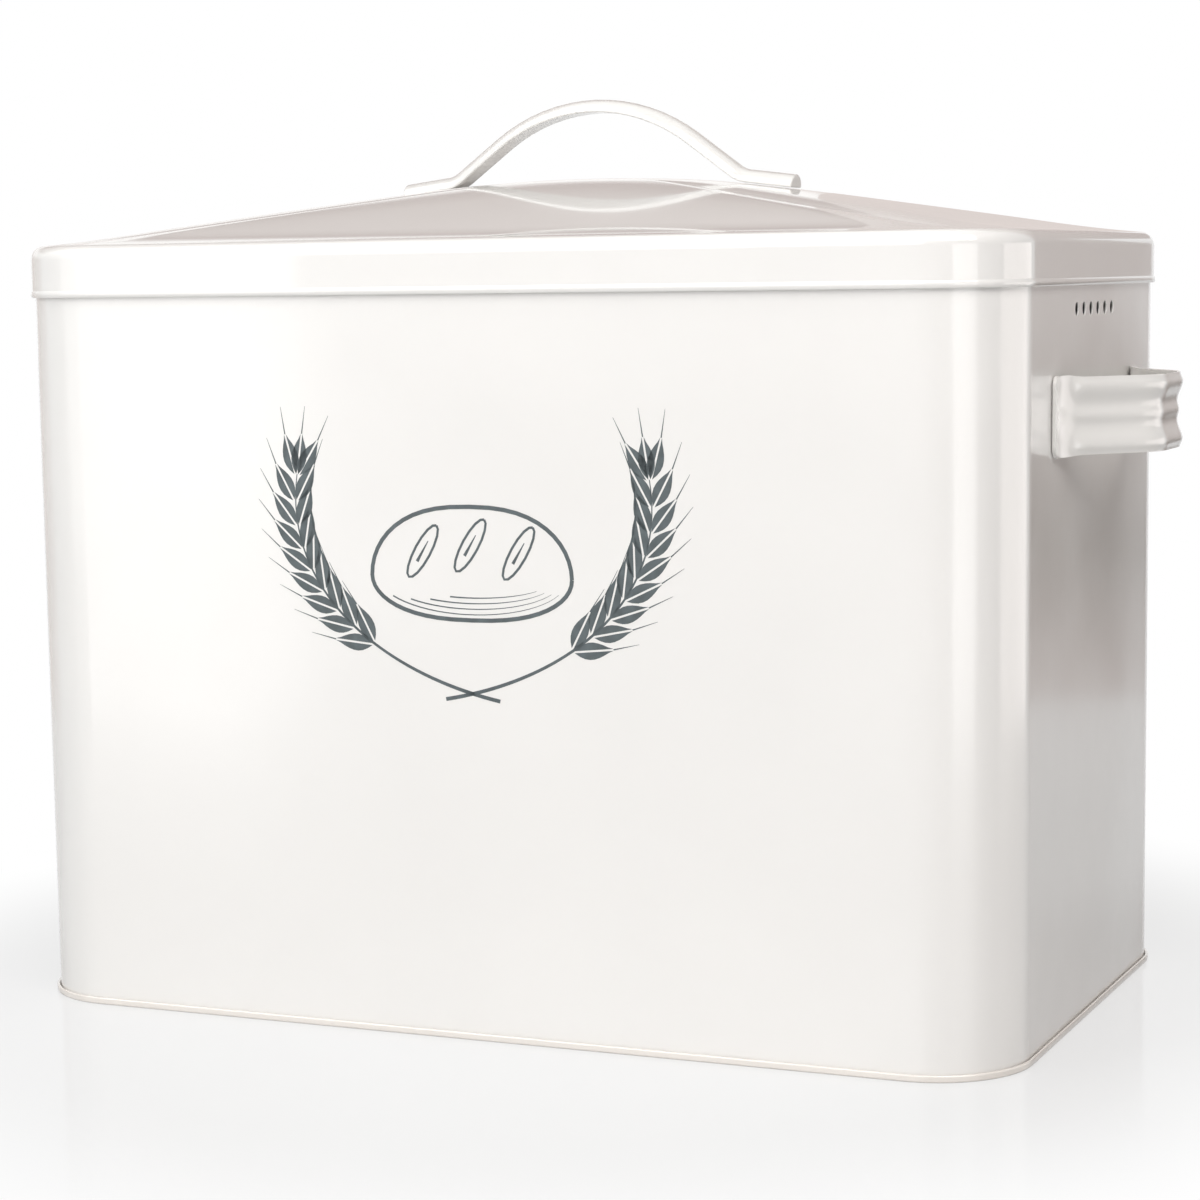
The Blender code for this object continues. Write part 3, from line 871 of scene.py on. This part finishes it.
def build_floor():
    """A pale glossy floor, which keeps shadows and blends into the white background further out."""
    mesh = bpy.data.meshes.new("floor")
    bm = bmesh.new()
    bmesh.ops.create_grid(bm, x_segments=1, y_segments=1, size=FLOOR_REACH)
    bm.to_mesh(mesh)
    bm.free()
    floor = add_object("floor", mesh)
    material = new_material("floor", FLOOR_COLOUR, FLOOR_ROUGHNESS)
    nodes = material.node_tree.nodes
    links = material.node_tree.links
    shader = nodes["Principled BSDF"]
    shader.inputs["IOR"].default_value = FLOOR_IOR
    place = nodes.new("ShaderNodeTexCoord")
    distance = nodes.new("ShaderNodeVectorMath")
    distance.operation = "LENGTH"
    squeeze = nodes.new("ShaderNodeVectorMath")
    squeeze.operation = "MULTIPLY"
    squeeze.inputs[1].default_value = (FLOOR_SQUEEZE, 1, 1)
    links.new(place.outputs["Object"], squeeze.inputs[0])
    links.new(squeeze.outputs["Vector"], distance.inputs[0])
    far = nodes.new("ShaderNodeMapRange")
    far.interpolation_type = "SMOOTHSTEP"
    far.inputs["From Min"].default_value = FLOOR_NEAR
    far.inputs["From Max"].default_value = FLOOR_FAR
    far.inputs["To Min"].default_value = FLOOR_WHITE_SHARE
    far.inputs["To Max"].default_value = 1
    links.new(distance.outputs["Value"], far.inputs["Value"])
    path = nodes.new("ShaderNodeLightPath")
    seen = nodes.new("ShaderNodeMath")
    seen.operation = "MULTIPLY"
    links.new(far.outputs["Result"], seen.inputs[0])
    mirrored = nodes.new("ShaderNodeMath")
    mirrored.operation = "MULTIPLY"
    mirrored.inputs[1].default_value = FLOOR_MIRRORED_SHARE
    links.new(path.outputs["Is Glossy Ray"], mirrored.inputs[0])
    rays = maximum(material.node_tree, path.outputs["Is Camera Ray"], mirrored.outputs["Value"])
    links.new(rays, seen.inputs[1])
    white = nodes.new("ShaderNodeEmission")
    white.inputs["Color"].default_value = (1, 1, 1, 1)
    white.inputs["Strength"].default_value = 1
    link_mix(
        material, seen.outputs["Value"], shader.outputs["BSDF"], white.outputs["Emission"],
        nodes["Material Output"].inputs["Surface"],
    )
    floor.data.materials.append(material)


def build_card(name, start, end, tones):
    """A card on a circle round the box, which only reflections see. Its angles run from the back."""
    foot, top = tones[0][0], tones[-1][0]
    rows = [[], []]
    for step in range(CARD_STEPS + 1):
        angle = math.radians(start + (end - start) * step / CARD_STEPS)
        for row, height in zip(rows, (foot, top)):
            row.append(Vector((CARD_RADIUS * math.sin(angle), CARD_RADIUS * math.cos(angle), height)))
    card = loft(name, rows, closed=False)
    material = new_material(name, (0, 0, 0), 1)
    nodes = material.node_tree.nodes
    links = material.node_tree.links
    shader = nodes["Principled BSDF"]
    shader.inputs["Specular IOR Level"].default_value = 0
    shader.inputs["Emission Strength"].default_value = 1
    place = nodes.new("ShaderNodeTexCoord")
    axes = nodes.new("ShaderNodeSeparateXYZ")
    links.new(place.outputs["Object"], axes.inputs["Vector"])
    rise = nodes.new("ShaderNodeMapRange")
    rise.inputs["From Min"].default_value = foot
    rise.inputs["From Max"].default_value = top
    links.new(axes.outputs["Z"], rise.inputs["Value"])
    ramp = nodes.new("ShaderNodeValToRGB")
    stops = ramp.color_ramp.elements
    stops[0].color = (*tones[0][1], 1)
    stops[1].color = (*tones[-1][1], 1)
    for height, colour in tones[1:-1]:
        stops.new((height - foot) / (top - foot)).color = (*colour, 1)
    links.new(rise.outputs["Result"], ramp.inputs["Fac"])
    links.new(ramp.outputs["Color"], shader.inputs["Emission Color"])
    card.data.materials.append(material)
    card.visible_camera = False
    card.visible_diffuse = False
    card.visible_shadow = False


def build_world():
    """Soft room light, and a white background for what looks past the box."""
    world = bpy.data.worlds.new("studio")
    bpy.context.scene.world = world
    world.use_nodes = True
    nodes = world.node_tree.nodes
    room = nodes["Background"]
    room.inputs["Color"].default_value = (*ROOM_COLOUR, 1)
    room.inputs["Strength"].default_value = ROOM_STRENGTH
    white = nodes.new("ShaderNodeBackground")
    white.inputs["Color"].default_value = (1, 1, 1, 1)
    white.inputs["Strength"].default_value = 1
    path = nodes.new("ShaderNodeLightPath")
    seen = maximum(
        world.node_tree,
        path.outputs["Is Camera Ray"], path.outputs["Is Glossy Ray"], path.outputs["Is Transmission Ray"],
    )
    link_mix(
        world, seen, room.outputs["Background"], white.outputs["Background"],
        nodes["World Output"].inputs["Surface"],
    )


def softbox(name, azimuth, elevation, distance, width, height, power, colour):
    """A rectangular lamp that faces the box. Azimuth 0 is in front of it, and 90 to its right."""
    lamp = bpy.data.lights.new(name, "AREA")
    lamp.shape = "RECTANGLE"
    lamp.size = width
    lamp.size_y = height
    lamp.energy = power
    lamp.color = colour
    holder = bpy.data.objects.new(name, lamp)
    bpy.context.scene.collection.objects.link(holder)
    side, up = math.radians(azimuth), math.radians(elevation)
    away = Vector((math.sin(side) * math.cos(up), -math.cos(side) * math.cos(up), math.sin(up)))
    middle = Vector((0, 0, RIM_HEIGHT / 2))
    holder.location = middle + away * distance
    holder.rotation_euler = away.to_track_quat("Z", "Y").to_euler()


def build_camera():
    camera = bpy.data.cameras.new("camera")
    camera.lens = FOCAL_LENGTH_MM
    camera.sensor_width = SENSOR_MM
    holder = bpy.data.objects.new("camera", camera)
    bpy.context.scene.collection.objects.link(holder)
    holder.matrix_world = (
        Matrix.Translation(CAMERA_PLACE)
        @ Matrix.Rotation(CAMERA_TURN, 4, "Z")
        @ Matrix.Rotation(math.pi / 2 - CAMERA_DOWN, 4, "X")
        @ Matrix.Rotation(CAMERA_ROLL, 4, "Z")
    )
    bpy.context.scene.camera = holder


# Depth of the sheet's waves in metres, roughness, and roughness of the coat
wall_look = enamel("wall_enamel", WALL_ENAMEL, 0.0012, 0.2, 0.14)
lid_look = enamel("lid_enamel", LID_ENAMEL, 0.0003, 0.12, 0.04)
# Painted shade: the handles get a darker copy of the enamel than the wall, through their tone spread
handle_look = enamel("handle_enamel", HANDLE_ENAMEL, 0.0001, 0.2, 0.12, HANDLE_SHADE_AND_TONE_SPREAD)
base_look = enamel("base_enamel", BASE_ENAMEL, 0.0003, 0.18, 0.08)
print_look = ink("front_print", PRINT_INK)

dress(build_wall(), wall_look, "box", "body_wall")
dress(build_base(), base_look, "box", "base_pan")
dress(build_lid(), lid_look, "lid", "lid_pan")
dress(build_lid_handle(), handle_look, "lid", "lid_handle")
dress(build_side_handle("right_grip", 0), handle_look, "box", "side_handle_right")
dress(build_side_handle("left_grip", math.pi), handle_look, "box", "side_handle_left")
dress(build_print(), print_look, "box", None)

build_floor()
for values in CARDS:
    build_card(*values)
build_world()
for values in LAMPS:
    softbox(*values)
build_camera()

bpy.context.scene.view_settings.view_transform = "Standard"
